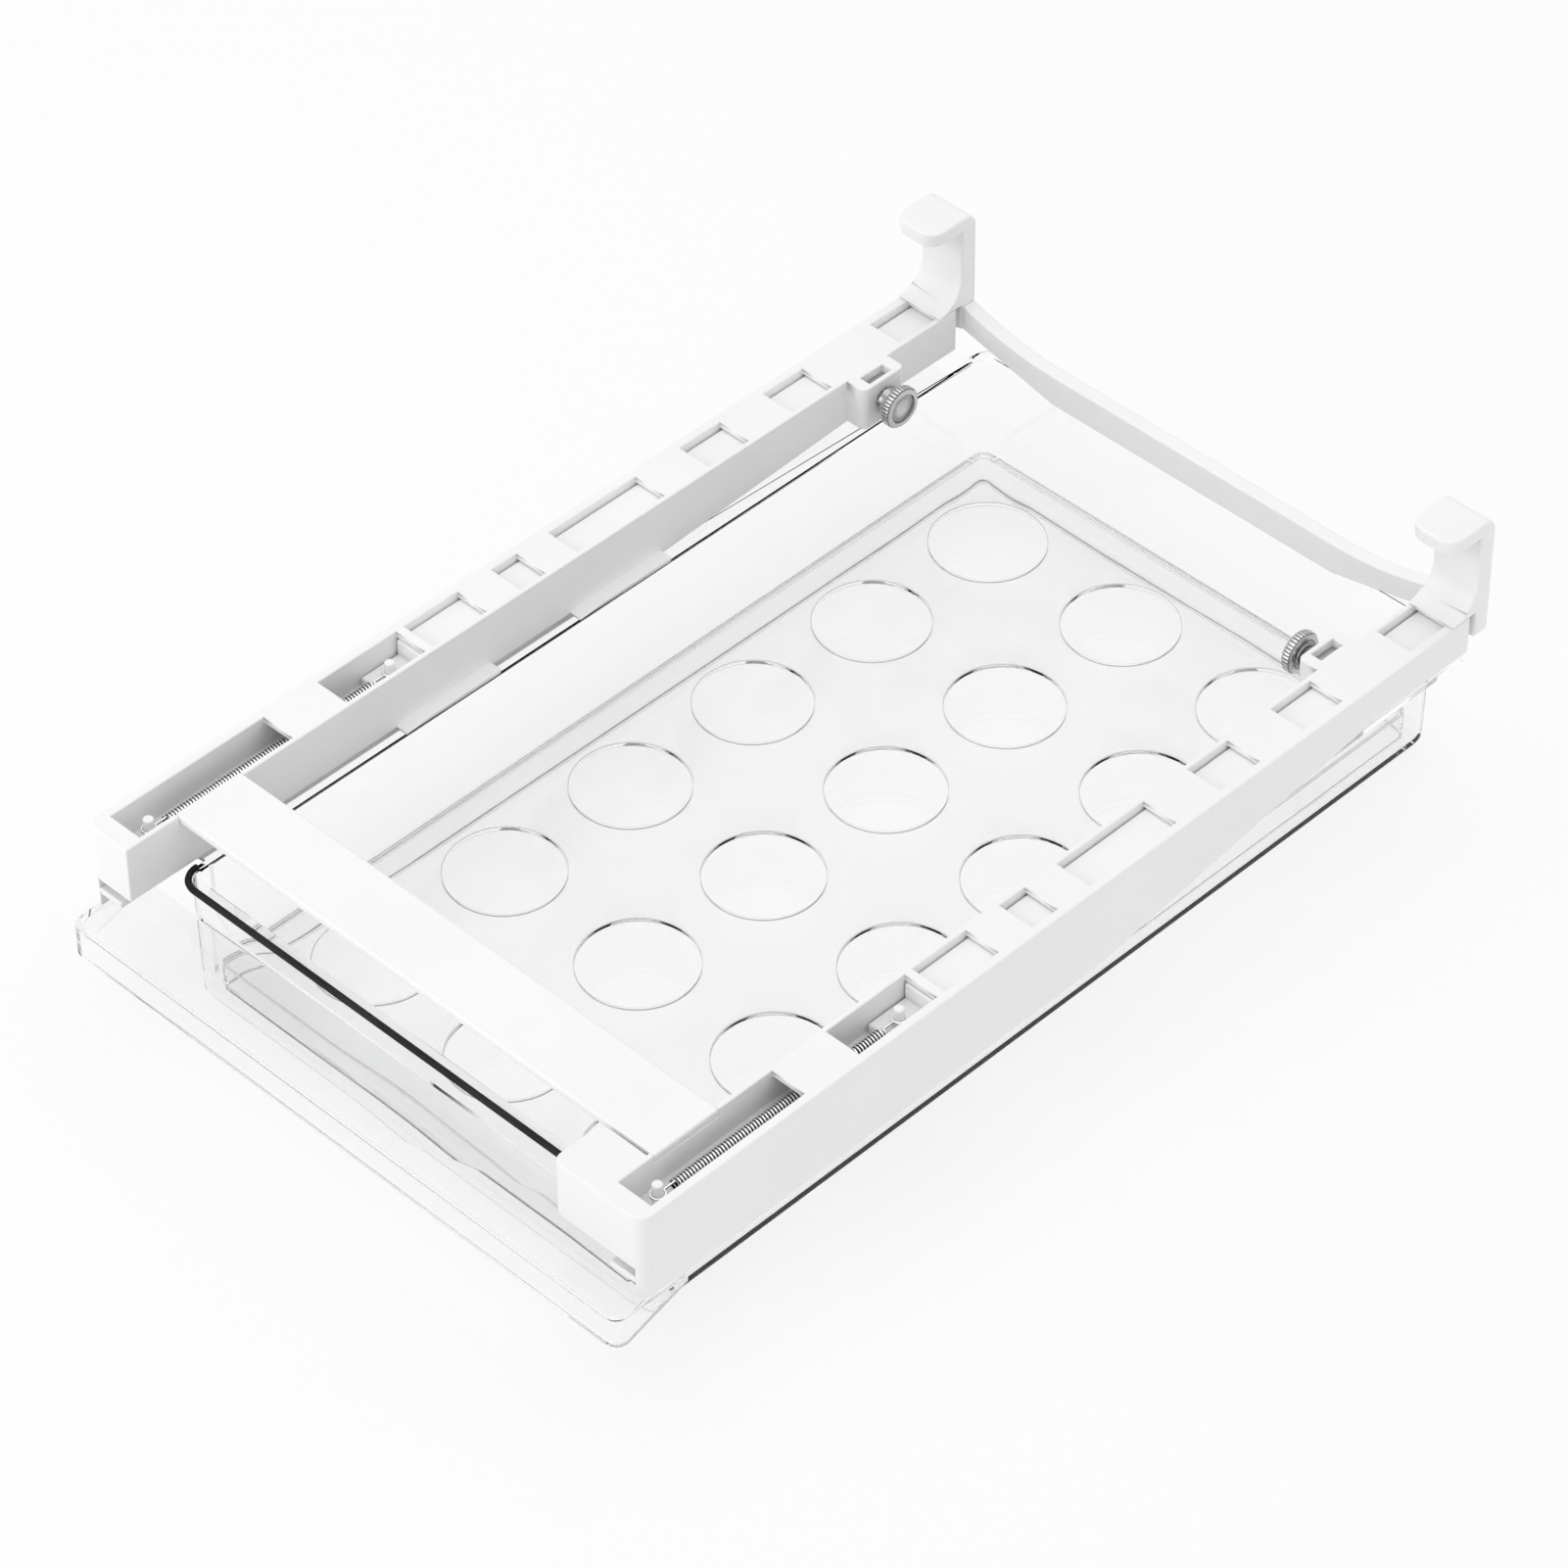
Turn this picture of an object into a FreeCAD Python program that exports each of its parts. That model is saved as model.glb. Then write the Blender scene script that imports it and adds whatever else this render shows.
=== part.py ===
# Pull-out storage drawer that hangs under a refrigerator shelf.
# Two channel rails and a front crossbar carry a clear drawer. Two sprung sliders with hooks reach out
# behind the rails, grip the rear edge of the shelf and are locked by thumbscrews.
# Millimetres, X to the right, Y to the rear, Z up. The sizes below are measured from the front ends
# and the top faces of the rails, and every piece moves to the middle of the drawer's base at the end.
import FreeCAD
import Part
import math
import os

from FreeCAD import Vector

# Rails
overall_width = 200.0
rail_length = 304.0
rail_width = 15.4
rail_outer_wall = 2.8
rail_inner_wall = 1.6
rail_top = 2.0
rail_end_wall = 5.0
rail_corner_radius = 4.0
channel_height = 8.4
channel_floor = 1.6
skirt_front_depth = 27.6
skirt_slope_start = 160.0
skirt_slope_rear_inset = 36.0
inner_front_depth = 18.0
inner_rear_depth = 14.0
inner_slope_start = 190.0
inner_slope_rear_inset = 43.0

# Openings in the rail tops, each as its place and its length
spring_window = (6.0, 52.0)
peg_window_lead = 14.0
peg_window_length = 27.5
middle_windows = [(107.5, 19.0), (139.0, 9.0), (160.0, 32.0)]
rear_windows = [(95.0, 15.0), (63.0, 15.0), (21.0, 15.0)]

# Hold-down tabs under the inner wall
tab_starts = [92.0, 155.0]
tab_length = 34.0
tab_reach = 4.0
tab_thickness = 1.6
tab_lead = 6.0

# Front block inside the right rail
block_width = 15.4
block_rear_gap = 1.0
block_radius = 3.0

# Front crossbar
crossbar_front = 18.0
crossbar_width = 22.0
crossbar_thickness = 2.6
crossbar_rib_depth = 4.0
crossbar_rib_width = 1.8
crossbar_rib_inset = 3.0

# Sliders and hooks
slider_front = 91.0
slider_side_gap = 0.4
slider_height_gap = 0.3
slider_tongue_length = 13.0
slider_tongue_height = 2.9
hook_gap = 2.0
hook_plate = 5.5
hook_drop = 8.4
hook_mouth = 25.5
hook_tongue_length = 12.0
hook_tongue_thickness = 4.5
hook_foot_gap = 0.4
hook_foot_radius = 9.0
hook_nose_radius = 5.0
hook_back_radius = 4.0

# Rear crossbar between the hooks
rear_bar_drop = 6.0
rear_bar_height = 10.0
rear_bar_flare = 34.0
rear_bar_thickness = 4.5
tenon_length = 6.0
tenon_height = 4.0
tenon_thickness = 2.5
tenon_gap = 0.15

# Springs and their posts
post_radius = 1.5
front_post_y = 13.5
slider_post_offset = 6.0
spring_axis_depth = 7.4
spring_radius = 1.6
spring_wire = 0.7
spring_wire_sides = 4
spring_curls = 13
spring_end_gap = 0.05
spring_lead = 5.6

# Thumbscrews, their nuts and bosses
screw_rear_inset = 35.5
screw_depth = 6.5
screw_radius = 2.5
screw_tip_gap = 0.2
screw_running_gap = 0.05
screw_hole_gap = 0.3
head_radius = 6.2
head_thickness = 3.0
collar_radius = 4.0
neck_radius = 3.2
collar_length = 3.2
collar_gap = 1.0
boss_reach = 6.6
boss_width = 16.0
boss_radius = 2.0
nut_width = 8.0
nut_thickness = 3.0
nut_gap = 0.2
nut_wall = 1.6

# Drawer
basin_side_gap = 1.2
basin_front = 16.2
basin_overhang = 10.2
basin_bottom_depth = 59.4
basin_wall = 2.0
basin_floor = 2.0
basin_draft = 0.6
basin_corner_radius = 6.0
basin_foot_radius = 2.4
rim_lip = 1.6
flange_thickness = 2.2
flange_top_gap = 0.4
flange_side_gap = 1.2
flange_front = 24.0
flange_rear_inset = 6.0
runner_gap = 0.3
runner_thickness = 2.0
runner_reach = 8.5
runner_end_margin = 4.5
drawer_travel = 200.0
stop_length = 6.0
stop_height = 4.0
stop_width = 6.0
stop_gap = 1.0

# Pull ledge on the front of the drawer
ledge_side_inset = 0.4
ledge_front = -9.0
ledge_rear = 15.6
ledge_gap = 0.9
ledge_wall = 2.0
ledge_drop = 10.0
ledge_end_drop = 3.5
ledge_corner_radius = 4.0

# Cup tray on the floor of the drawer
cup_columns = 3
cup_rows = 6
cup_side_margin = 3.6
cup_end_margin = 5.3
cup_web = 13.1
cup_sides = 16
tray_height = 9.0
tray_sheet = 1.5
tray_gap = 0.4

# Places worked out from the sizes above
rail_outer = overall_width / 2
rail_inner = rail_outer - rail_width
channel_inner = rail_inner + rail_inner_wall
channel_outer = rail_outer - rail_outer_wall
channel_bottom = -rail_top - channel_height
rear_skirt_depth = rail_top + channel_height + channel_floor
flange_top = -inner_front_depth - flange_top_gap
flange_bottom = flange_top - flange_thickness
runner_top = flange_bottom - runner_gap
hook_front = rail_length + hook_gap
hook_rear = hook_front + hook_plate
slider_inner = channel_inner + slider_side_gap
slider_outer = channel_outer - slider_side_gap
slider_bottom = channel_bottom + slider_height_gap
slider_top = -rail_top - slider_height_gap
slider_middle = (slider_inner + slider_outer) / 2
slider_post_y = slider_front + slider_post_offset
skirt_slope_end = rail_length - skirt_slope_rear_inset
inner_slope_end = rail_length - inner_slope_rear_inset
skirt_slope = (skirt_front_depth - rear_skirt_depth) / (skirt_slope_end - skirt_slope_start)
runner_bottom = runner_top - runner_thickness
runner_end = skirt_slope_start + (skirt_front_depth + runner_bottom) / skirt_slope - runner_end_margin
screw_y = rail_length - screw_rear_inset
basin_width = 2 * (rail_inner - basin_side_gap)
basin_rear = rail_length + basin_overhang
ledge_width = overall_width - 2 * ledge_side_inset
ledge_top = -skirt_front_depth - ledge_gap
base = Vector(0, -(ledge_front + basin_rear + rim_lip) / 2, basin_bottom_depth)


def block(x0, x1, y0, y1, z0, z1):
    """A box between two corners."""
    return Part.makeBox(x1 - x0, y1 - y0, z1 - z0, Vector(x0, y0, z0))


def side_prism(points, x0, x1):
    """A side outline of (y, z) points, extruded across from x0 to x1."""
    corners = [Vector(x0, y, z) for y, z in points]
    face = Part.Face(Part.makePolygon(corners + corners[:1]))
    return face.extrude(Vector(x1 - x0, 0, 0))


def rounded_outline(x0, x1, y0, y1, z, radius):
    """A flat rectangle at height z with rounded corners, as a wire."""
    across = radius * (1 - math.sqrt(0.5))
    corners = [
        ((x1 - radius, y0), (x1 - across, y0 + across), (x1, y0 + radius)),
        ((x1, y1 - radius), (x1 - across, y1 - across), (x1 - radius, y1)),
        ((x0 + radius, y1), (x0 + across, y1 - across), (x0, y1 - radius)),
        ((x0, y0 + radius), (x0 + across, y0 + across), (x0 + radius, y0)),
    ]
    edges = []
    for number, corner in enumerate(corners):
        start, middle, end = [Vector(x, y, z) for x, y in corner]
        following = corners[(number + 1) % len(corners)][0]
        edges.append(Part.Arc(start, middle, end).toShape())
        edges.append(Part.LineSegment(end, Vector(following[0], following[1], z)).toShape())
    return Part.Wire(edges)


def rounded_block(x0, x1, y0, y1, z0, z1, radius):
    """A box with rounded upright edges."""
    face = Part.Face(rounded_outline(x0, x1, y0, y1, z0, radius))
    return face.extrude(Vector(0, 0, z1 - z0))


def cross_rod(radius, x0, x1, y, z):
    """A round rod along X."""
    return Part.makeCylinder(radius, x1 - x0, Vector(x0, y, z), Vector(1, 0, 0))


def mirrored(shape):
    """The left-hand twin of a right-hand piece."""
    return shape.mirror(Vector(0, 0, 0), Vector(1, 0, 0))


def thumbscrew_boss():
    """Boss on the rail's inner face, with a pocket open at the top for the nut."""
    inner = rail_inner - boss_reach
    boss = rounded_block(inner, rail_inner + boss_radius + rail_inner_wall, screw_y - boss_width / 2,
                         screw_y + boss_width / 2, -inner_rear_depth, 0, boss_radius)
    return boss.common(block(inner, rail_inner, 0, rail_length, -inner_rear_depth, 0))


def nut_place():
    """Inner and outer faces of the nut pocket, measured along X."""
    inner = rail_inner - boss_reach + nut_wall
    return inner, inner + nut_thickness + 2 * nut_gap


def rail(with_front_block):
    """Right rail: slider channel above, runner for the drawer's flange below."""
    outer_wall = side_prism([(0, 0), (rail_length, 0), (rail_length, -rear_skirt_depth),
                             (skirt_slope_end, -rear_skirt_depth), (skirt_slope_start, -skirt_front_depth),
                             (0, -skirt_front_depth)], channel_outer, rail_outer)
    inner_wall = side_prism([(0, 0), (rail_length, 0), (rail_length, -inner_rear_depth),
                             (inner_slope_end, -inner_rear_depth), (inner_slope_start, -inner_front_depth),
                             (0, -inner_front_depth)], rail_inner, channel_inner)
    top = block(rail_inner, rail_outer, 0, rail_length, -rail_top, 0)
    floor = block(rail_inner, rail_outer, 0, rail_length, -rear_skirt_depth, channel_bottom)
    end_wall = block(rail_inner, rail_outer, 0, rail_end_wall, -inner_front_depth, 0)
    runner = block(channel_outer - runner_reach, rail_outer, 0, runner_end, runner_bottom, runner_top)
    post = Part.makeCylinder(post_radius, slider_top - channel_bottom,
                             Vector(slider_middle, front_post_y, channel_bottom))
    pieces = [inner_wall, top, floor, end_wall, runner, post, thumbscrew_boss()]
    for start in tab_starts:
        pieces.append(hold_down_tab(start))
    shape = outer_wall.multiFuse(pieces)
    shape = shape.common(rail_envelope())
    windows = [spring_window, (slider_front - peg_window_lead, peg_window_length)] + middle_windows
    windows += [(rail_length - rear_inset, length) for rear_inset, length in rear_windows]
    cuts = [block(channel_inner, channel_outer, start, start + length, -rail_top, 0)
            for start, length in windows]
    cuts.append(block(rail_inner, channel_inner, crossbar_front, crossbar_front + crossbar_width,
                      -crossbar_thickness, 0))
    pocket_inner, pocket_outer = nut_place()
    half_nut = nut_width / 2 + nut_gap
    cuts.append(block(pocket_inner, pocket_outer, screw_y - half_nut, screw_y + half_nut,
                      -screw_depth - half_nut, 0))
    cuts.append(cross_rod(screw_radius + screw_hole_gap, rail_inner - boss_reach, channel_inner, screw_y,
                          -screw_depth))
    shape = shape.cut(cuts)
    if with_front_block:
        shape = shape.fuse(front_block())
    return shape


def rail_envelope():
    """Outline of the rail seen from above, with its rounded front corner and room for the boss."""
    radius = rail_corner_radius
    body = rounded_block(rail_inner, rail_outer, 0, rail_length + 2 * radius, -skirt_front_depth, 0, radius)
    inner = block(rail_inner - boss_reach, rail_outer - radius, 0, rail_length, -skirt_front_depth, 0)
    room = block(rail_inner - boss_reach, rail_outer, 0, rail_length, -skirt_front_depth, 0)
    return body.fuse(inner).common(room)


def hold_down_tab(start):
    """Tab over the drawer's rim, with a sloping lead at its front."""
    low = -inner_front_depth
    outline = [(start, low), (start + tab_length, low), (start + tab_length, low + tab_thickness),
               (start + tab_lead, low + tab_thickness), (start, low + tab_thickness / 3)]
    return side_prism(outline, rail_inner - tab_reach, channel_inner)


def front_block():
    """Block beside the front end of the right rail, above the path of the drawer's rim."""
    body = rounded_block(rail_inner - block_width, rail_inner + block_radius, 0,
                         crossbar_front - block_rear_gap, -inner_front_depth, 0, block_radius)
    return body.common(block(rail_inner - block_width, rail_inner, 0, crossbar_front, -inner_front_depth, 0))


def front_crossbar():
    """Flat bar let into the tops of both rails, with two stiffening ribs below."""
    rear = crossbar_front + crossbar_width
    bar = block(-channel_inner, channel_inner, crossbar_front, rear, -crossbar_thickness, 0)
    low = -crossbar_thickness - crossbar_rib_depth
    ribs = [block(-rail_inner, rail_inner, y, y + crossbar_rib_width, low, -crossbar_thickness)
            for y in (crossbar_front + crossbar_rib_inset, rear - crossbar_rib_inset - crossbar_rib_width)]
    return bar.multiFuse(ribs)


def hook():
    """Upright hook with a round-cornered forward tongue and a curved foot that stands on the rail."""
    low = -hook_drop
    under = hook_mouth
    top = hook_mouth + hook_tongue_thickness
    nose = hook_front - hook_tongue_length
    foot = hook_front - hook_foot_radius
    bend = hook_foot_radius * (1 - math.sqrt(0.5))
    back = hook_back_radius * (1 - math.sqrt(0.5))
    points = {
        "rear low": (hook_rear, low), "rear high": (hook_rear, top - hook_back_radius),
        "back bend": (hook_rear - back, top - back), "back top": (hook_rear - hook_back_radius, top),
        "nose top": (nose, top), "nose low": (nose, under),
        "mouth": (hook_front, under), "foot top": (hook_front, hook_foot_gap + hook_foot_radius),
        "foot bend": (hook_front - bend, hook_foot_gap + bend), "foot front": (foot, hook_foot_gap),
        "foot under": (hook_front, hook_foot_gap), "front low": (hook_front, low),
    }
    place = {name: Vector(rail_inner, y, z) for name, (y, z) in points.items()}
    runs = [("rear low", "rear high"), ("rear high", "back bend", "back top"), ("back top", "nose top"),
            ("nose top", "nose low"), ("nose low", "mouth"), ("mouth", "foot top"),
            ("foot top", "foot bend", "foot front"), ("foot front", "foot under"),
            ("foot under", "front low"), ("front low", "rear low")]
    edges = []
    for run in runs:
        ends = [place[name] for name in run]
        edges.append((Part.Arc(*ends) if len(ends) == 3 else Part.LineSegment(*ends)).toShape())
    solid = Part.Face(Part.Wire(edges)).extrude(Vector(rail_width, 0, 0))
    fine = 1e-6
    corners = [edge for edge in solid.Edges
               if all(abs(vertex.Y - nose) < fine for vertex in edge.Vertexes)
               and abs(edge.Vertexes[0].X - edge.Vertexes[-1].X) < fine]
    return solid.makeFillet(hook_nose_radius, corners)


def tenon_box(gap):
    """Tenon of the rear crossbar in the side of the right hook, or its mortise with a gap all round."""
    middle_y = (hook_front + hook_rear) / 2
    middle_z = -hook_drop / 2
    return block(rail_inner, rail_inner + tenon_length + gap, middle_y - tenon_thickness / 2 - gap,
                 middle_y + tenon_thickness / 2 + gap, middle_z - tenon_height / 2 - gap,
                 middle_z + tenon_height / 2 + gap)


def slider():
    """Right slider: a bar in the rail's channel that carries the spring's rear post and the hook."""
    tongue_rear = slider_front + slider_tongue_length
    bar = block(slider_inner, slider_outer, tongue_rear, hook_front, slider_bottom, slider_top)
    tongue = block(slider_inner, slider_outer, slider_front, tongue_rear, slider_bottom,
                   slider_bottom + slider_tongue_height)
    post_foot = Vector(slider_middle, slider_post_y, slider_bottom)
    post = Part.makeCylinder(post_radius, slider_top - slider_bottom, post_foot)
    shape = bar.multiFuse([tongue, post, hook()])
    return shape.cut(tenon_box(tenon_gap))


def rear_crossbar():
    """Upright bar between the hooks, with concave flares up to them and a tenon at each end."""
    low = -rear_bar_drop - rear_bar_height
    middle_y = (hook_front + hook_rear) / 2
    front = middle_y - rear_bar_thickness / 2
    start = rail_inner - rear_bar_flare
    quarter = rail_inner - rear_bar_flare / 2

    def at(x, z):
        return Vector(x, front, z)

    flare_bend = -rear_bar_drop * 0.75
    edges = [
        Part.LineSegment(at(-start, -rear_bar_drop), at(start, -rear_bar_drop)),
        Part.Arc(at(start, -rear_bar_drop), at(quarter, flare_bend), at(rail_inner, 0)),
        Part.LineSegment(at(rail_inner, 0), at(rail_inner, -hook_drop)),
        Part.LineSegment(at(rail_inner, -hook_drop), at(start, low)),
        Part.LineSegment(at(start, low), at(-start, low)),
        Part.LineSegment(at(-start, low), at(-rail_inner, -hook_drop)),
        Part.LineSegment(at(-rail_inner, -hook_drop), at(-rail_inner, 0)),
        Part.Arc(at(-rail_inner, 0), at(-quarter, flare_bend), at(-start, -rear_bar_drop)),
    ]
    face = Part.Face(Part.Wire([edge.toShape() for edge in edges]))
    bar = face.extrude(Vector(0, rear_bar_thickness, 0))
    tenon = tenon_box(0)
    return bar.multiFuse([tenon, mirrored(tenon)])


def biarc(start, start_way, end, end_way):
    """Two arcs from start to end that leave and arrive along the given unit directions."""
    chord = end - start
    total = start_way + end_way
    square = 2 * (1 - start_way.dot(end_way))
    half = chord.dot(total)
    if square < 1e-9:
        reach = chord.dot(chord) / (2 * half)
    else:
        reach = (-half + math.sqrt(half * half + square * chord.dot(chord))) / square
    first = start + start_way * reach
    last = end - end_way * reach
    joint = (first + last) * 0.5
    return [tangent_arc(start, first, joint), tangent_arc(joint, last, end)]


def tangent_arc(start, corner, end):
    """Arc from start to end whose end tangents cross at corner, as its start, middle and end."""
    middle = (start + end) * 0.5
    half_turn = (corner - start).getAngle(end - corner) / 2
    share = math.tan(half_turn / 2) / math.tan(half_turn)
    return start, middle + (corner - middle) * share, end


def spring_line():
    """Centre line of the right spring: a helix along Y in half turns, with a straight lead to each post."""
    axis = Vector(slider_middle, 0, -spring_axis_depth)
    start_y = front_post_y + post_radius + spring_end_gap + spring_lead
    end_y = slider_post_y - post_radius - spring_end_gap - spring_lead
    pitch = (end_y - start_y) / spring_curls
    slope = pitch / (2 * math.pi * spring_radius)
    steep = math.sqrt(1 + slope * slope)
    stations = []
    for step in range(2 * spring_curls + 1):
        turn = step * math.pi
        spot = axis + Vector(0, start_y + pitch * step / 2, spring_radius * math.cos(turn))
        way = Vector(math.cos(turn), slope, 0) * (1 / steep)
        stations.append((spot, way))
    back = Vector(0, 1, 0)
    lead = Vector(0, spring_lead - spring_wire, 0)
    stations.insert(0, (stations[0][0] - lead, back))
    stations.append((stations[-1][0] + lead, back))
    arcs = []
    for (spot, way), (next_spot, next_way) in zip(stations, stations[1:]):
        arcs.extend(biarc(spot, way, next_spot, next_way))
    return arcs


def spring():
    """Right extension spring, one unbroken wire."""
    arcs = spring_line()
    wire_ahead = Vector(0, spring_wire, 0)
    start, end = arcs[0][0], arcs[-1][2]
    edges = [Part.LineSegment(start - wire_ahead, start).toShape()]
    edges += [Part.Arc(*arc).toShape() for arc in arcs]
    edges.append(Part.LineSegment(end, end + wire_ahead).toShape())
    corners = []
    for side in range(spring_wire_sides):
        turn = 2 * math.pi * side / spring_wire_sides
        corners.append(start - wire_ahead + Vector(math.cos(turn), 0, math.sin(turn)) * (spring_wire / 2))
    section = Part.makePolygon(corners + corners[:1])
    print("spring gap to itself %.2f mm" % spring_gap([arc[1] for arc in arcs]))
    return Part.Wire(edges).makePipeShell([section], True, False)


def spring_gap(points):
    """Least gap between two stretches of the wire that lie more than half a turn apart."""
    apart = 3
    return min(a.distanceToPoint(b) for number, a in enumerate(points)
               for b in points[number + apart:]) - spring_wire


def thumbscrew():
    """Right thumbscrew: flat head, conical collar and a plain shank that reaches the slider."""
    tip = slider_inner - screw_tip_gap
    shoulder = rail_inner - boss_reach - collar_gap
    head_outer = shoulder - collar_length
    head_inner = head_outer - head_thickness
    outline = [(head_inner, 0), (head_inner, head_radius), (head_outer, head_radius),
               (head_outer, neck_radius), (shoulder - collar_gap, collar_radius), (shoulder, collar_radius),
               (shoulder, screw_radius), (tip, screw_radius), (tip, 0)]
    corners = [Vector(x, screw_y, radius - screw_depth) for x, radius in outline]
    face = Part.Face(Part.makePolygon(corners + corners[:1]))
    return face.revolve(Vector(0, screw_y, -screw_depth), Vector(1, 0, 0), 360)


def clamp_nut():
    """Square nut in the right boss."""
    inner = nut_place()[0] + nut_gap
    half = nut_width / 2
    nut = block(inner, inner + nut_thickness, screw_y - half, screw_y + half, -screw_depth - half,
                -screw_depth + half)
    hole_radius = screw_radius + screw_running_gap
    return nut.cut(cross_rod(hole_radius, inner, inner + nut_thickness, screw_y, -screw_depth))


def basin_form(inset, low):
    """Drafted tub between the rim and height low, drawn in by inset all round."""
    slope = basin_draft / (basin_bottom_depth + flange_top)
    foot = basin_foot_radius - inset / 2
    bend = foot * (1 - math.sqrt(0.5))
    outlines = []
    for level, foot_inset in ((low, foot), (low + bend, bend), (low + foot, 0), (flange_top, 0)):
        drawn = inset + foot_inset + slope * (flange_top - level)
        half = basin_width / 2 - drawn
        outlines.append(rounded_outline(-half, half, basin_front + drawn, basin_rear - drawn, level,
                                        basin_corner_radius - inset))
    return Part.makeLoft(outlines, True, True)


def drawer_basin():
    """Clear drawer: drafted tub, rim, side flanges with stops, and the pull ledge in front."""
    half = basin_width / 2
    shell = basin_form(0, -basin_bottom_depth)
    flange_outer = channel_outer - flange_side_gap
    pieces = [rounded_block(-half, half, basin_front - rim_lip, basin_rear + rim_lip,
                            flange_bottom, flange_top, basin_corner_radius)]
    stop_front = rail_end_wall + drawer_travel + stop_gap
    for flange in (block(half - basin_wall, flange_outer, flange_front, basin_rear - flange_rear_inset,
                         flange_bottom, flange_top),
                   block(flange_outer - stop_width, flange_outer, stop_front, stop_front + stop_length,
                         flange_top, flange_top + stop_height)):
        pieces += [flange, mirrored(flange)]
    pieces.append(pull_ledge())
    return shell.multiFuse(pieces).cut(basin_form(basin_wall, basin_floor - basin_bottom_depth))


def pull_ledge():
    """Ledge across the front of the drawer with a lip that turns down along its front and ends."""
    half = ledge_width / 2
    radius = ledge_corner_radius
    low = ledge_top - ledge_drop
    rear = ledge_rear + radius
    cap = rounded_block(-half, half, ledge_front, rear, low, ledge_top, radius)
    hollow = rounded_block(-half + ledge_wall, half - ledge_wall, ledge_front + ledge_wall, rear + radius,
                           low, ledge_top - ledge_wall, radius - ledge_wall)
    side = [(ledge_front, ledge_top), (ledge_rear, ledge_top), (ledge_rear, ledge_top - ledge_end_drop),
            (ledge_front + radius, low), (ledge_front, low)]
    wedge = side_prism(side, -half, half)
    ledge = cap.cut(hollow).common(wedge)
    bridge_half = basin_width / 2 - basin_corner_radius
    bridge = block(-bridge_half, bridge_half, ledge_front + radius, basin_front + basin_wall,
                   ledge_top - ledge_wall, ledge_top)
    return ledge.fuse(bridge)


def cup_tray():
    """Thin tray that stands on the drawer's floor, with a grid of round cup holes."""
    low = basin_floor - basin_bottom_depth
    top = low + tray_height
    inset = basin_wall + basin_draft + basin_foot_radius + tray_gap
    half = basin_width / 2 - inset
    front, rear = basin_front + inset, basin_rear - inset
    radius = basin_corner_radius - basin_wall
    slab = rounded_block(-half, half, front, rear, low, top, radius)
    hollows = [rounded_block(-half + tray_sheet, half - tray_sheet, front + tray_sheet, rear - tray_sheet,
                             low, top - tray_sheet, radius - tray_sheet)]
    column_pitch = 2 * (half - cup_side_margin) / cup_columns
    row_pitch = (rear - front - 2 * cup_end_margin) / cup_rows
    radius = (min(column_pitch, row_pitch) - cup_web) / 2
    for column in range(cup_columns):
        for row in range(cup_rows):
            spot = Vector((column - (cup_columns - 1) / 2) * column_pitch,
                          (front + rear) / 2 + (row - (cup_rows - 1) / 2) * row_pitch, low)
            hollows.append(cup_hole(spot, radius))
    return slab.cut(hollows)


def cup_hole(spot, radius):
    """Near-round upright hole through the tray."""
    corners = []
    for side in range(cup_sides):
        turn = 2 * math.pi * (side + 0.5) / cup_sides
        corners.append(spot + Vector(math.cos(turn), math.sin(turn), 0) * radius)
    return Part.Face(Part.makePolygon(corners + corners[:1])).extrude(Vector(0, 0, tray_height))


def save(name, shape):
    """Write one piece in its own file, seen from the middle of the drawer's base."""
    whole = shape.removeSplitter()
    if len(whole.Solids) == 1:
        whole = whole.Solids[0]
    whole.translated(base).exportStep(os.path.join("parts", name + ".step"))


os.makedirs("parts", exist_ok=True)
save("left_rail", mirrored(rail(False)))
save("right_rail", rail(True))
save("front_crossbar", front_crossbar())
save("rear_crossbar", rear_crossbar())
for side_name, turned in (("left", mirrored), ("right", lambda shape: shape)):
    save(side_name + "_slider", turned(slider()))
    save(side_name + "_spring", turned(spring()))
    save(side_name + "_thumbscrew", turned(thumbscrew()))
    save(side_name + "_clamp_nut", turned(clamp_nut()))
save("drawer_basin", drawer_basin())
save("cup_tray", cup_tray())
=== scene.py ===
import math

import bmesh
import bpy
from mathutils import Matrix, Vector


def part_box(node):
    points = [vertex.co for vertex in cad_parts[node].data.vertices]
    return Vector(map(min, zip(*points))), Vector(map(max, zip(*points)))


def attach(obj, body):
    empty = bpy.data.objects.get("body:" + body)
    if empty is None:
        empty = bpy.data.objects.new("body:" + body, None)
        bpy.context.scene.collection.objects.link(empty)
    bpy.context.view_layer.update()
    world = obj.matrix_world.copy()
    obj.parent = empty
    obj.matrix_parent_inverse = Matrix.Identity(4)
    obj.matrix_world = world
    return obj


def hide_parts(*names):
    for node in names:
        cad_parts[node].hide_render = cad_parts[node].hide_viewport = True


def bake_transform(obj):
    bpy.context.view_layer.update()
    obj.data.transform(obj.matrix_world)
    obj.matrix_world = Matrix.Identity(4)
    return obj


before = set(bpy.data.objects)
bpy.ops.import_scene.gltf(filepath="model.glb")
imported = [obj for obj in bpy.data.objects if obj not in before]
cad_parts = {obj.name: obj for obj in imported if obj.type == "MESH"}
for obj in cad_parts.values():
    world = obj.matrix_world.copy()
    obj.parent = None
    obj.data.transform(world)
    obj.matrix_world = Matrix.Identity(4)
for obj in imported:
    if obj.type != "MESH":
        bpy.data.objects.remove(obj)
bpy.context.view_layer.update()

# Left and right rails: injection-moulded white channels that lie under the shelf and carry the drawer.
# The moulding has a fine spark-eroded grain and every outer edge is broken by a small radius.
sides = (("left", -1), ("right", 1))
rail_edge = 0.00045
channel_line = 0.0917
boss_line = 0.1151
boss_level = 0.0529
same_point = 2e-6
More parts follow.
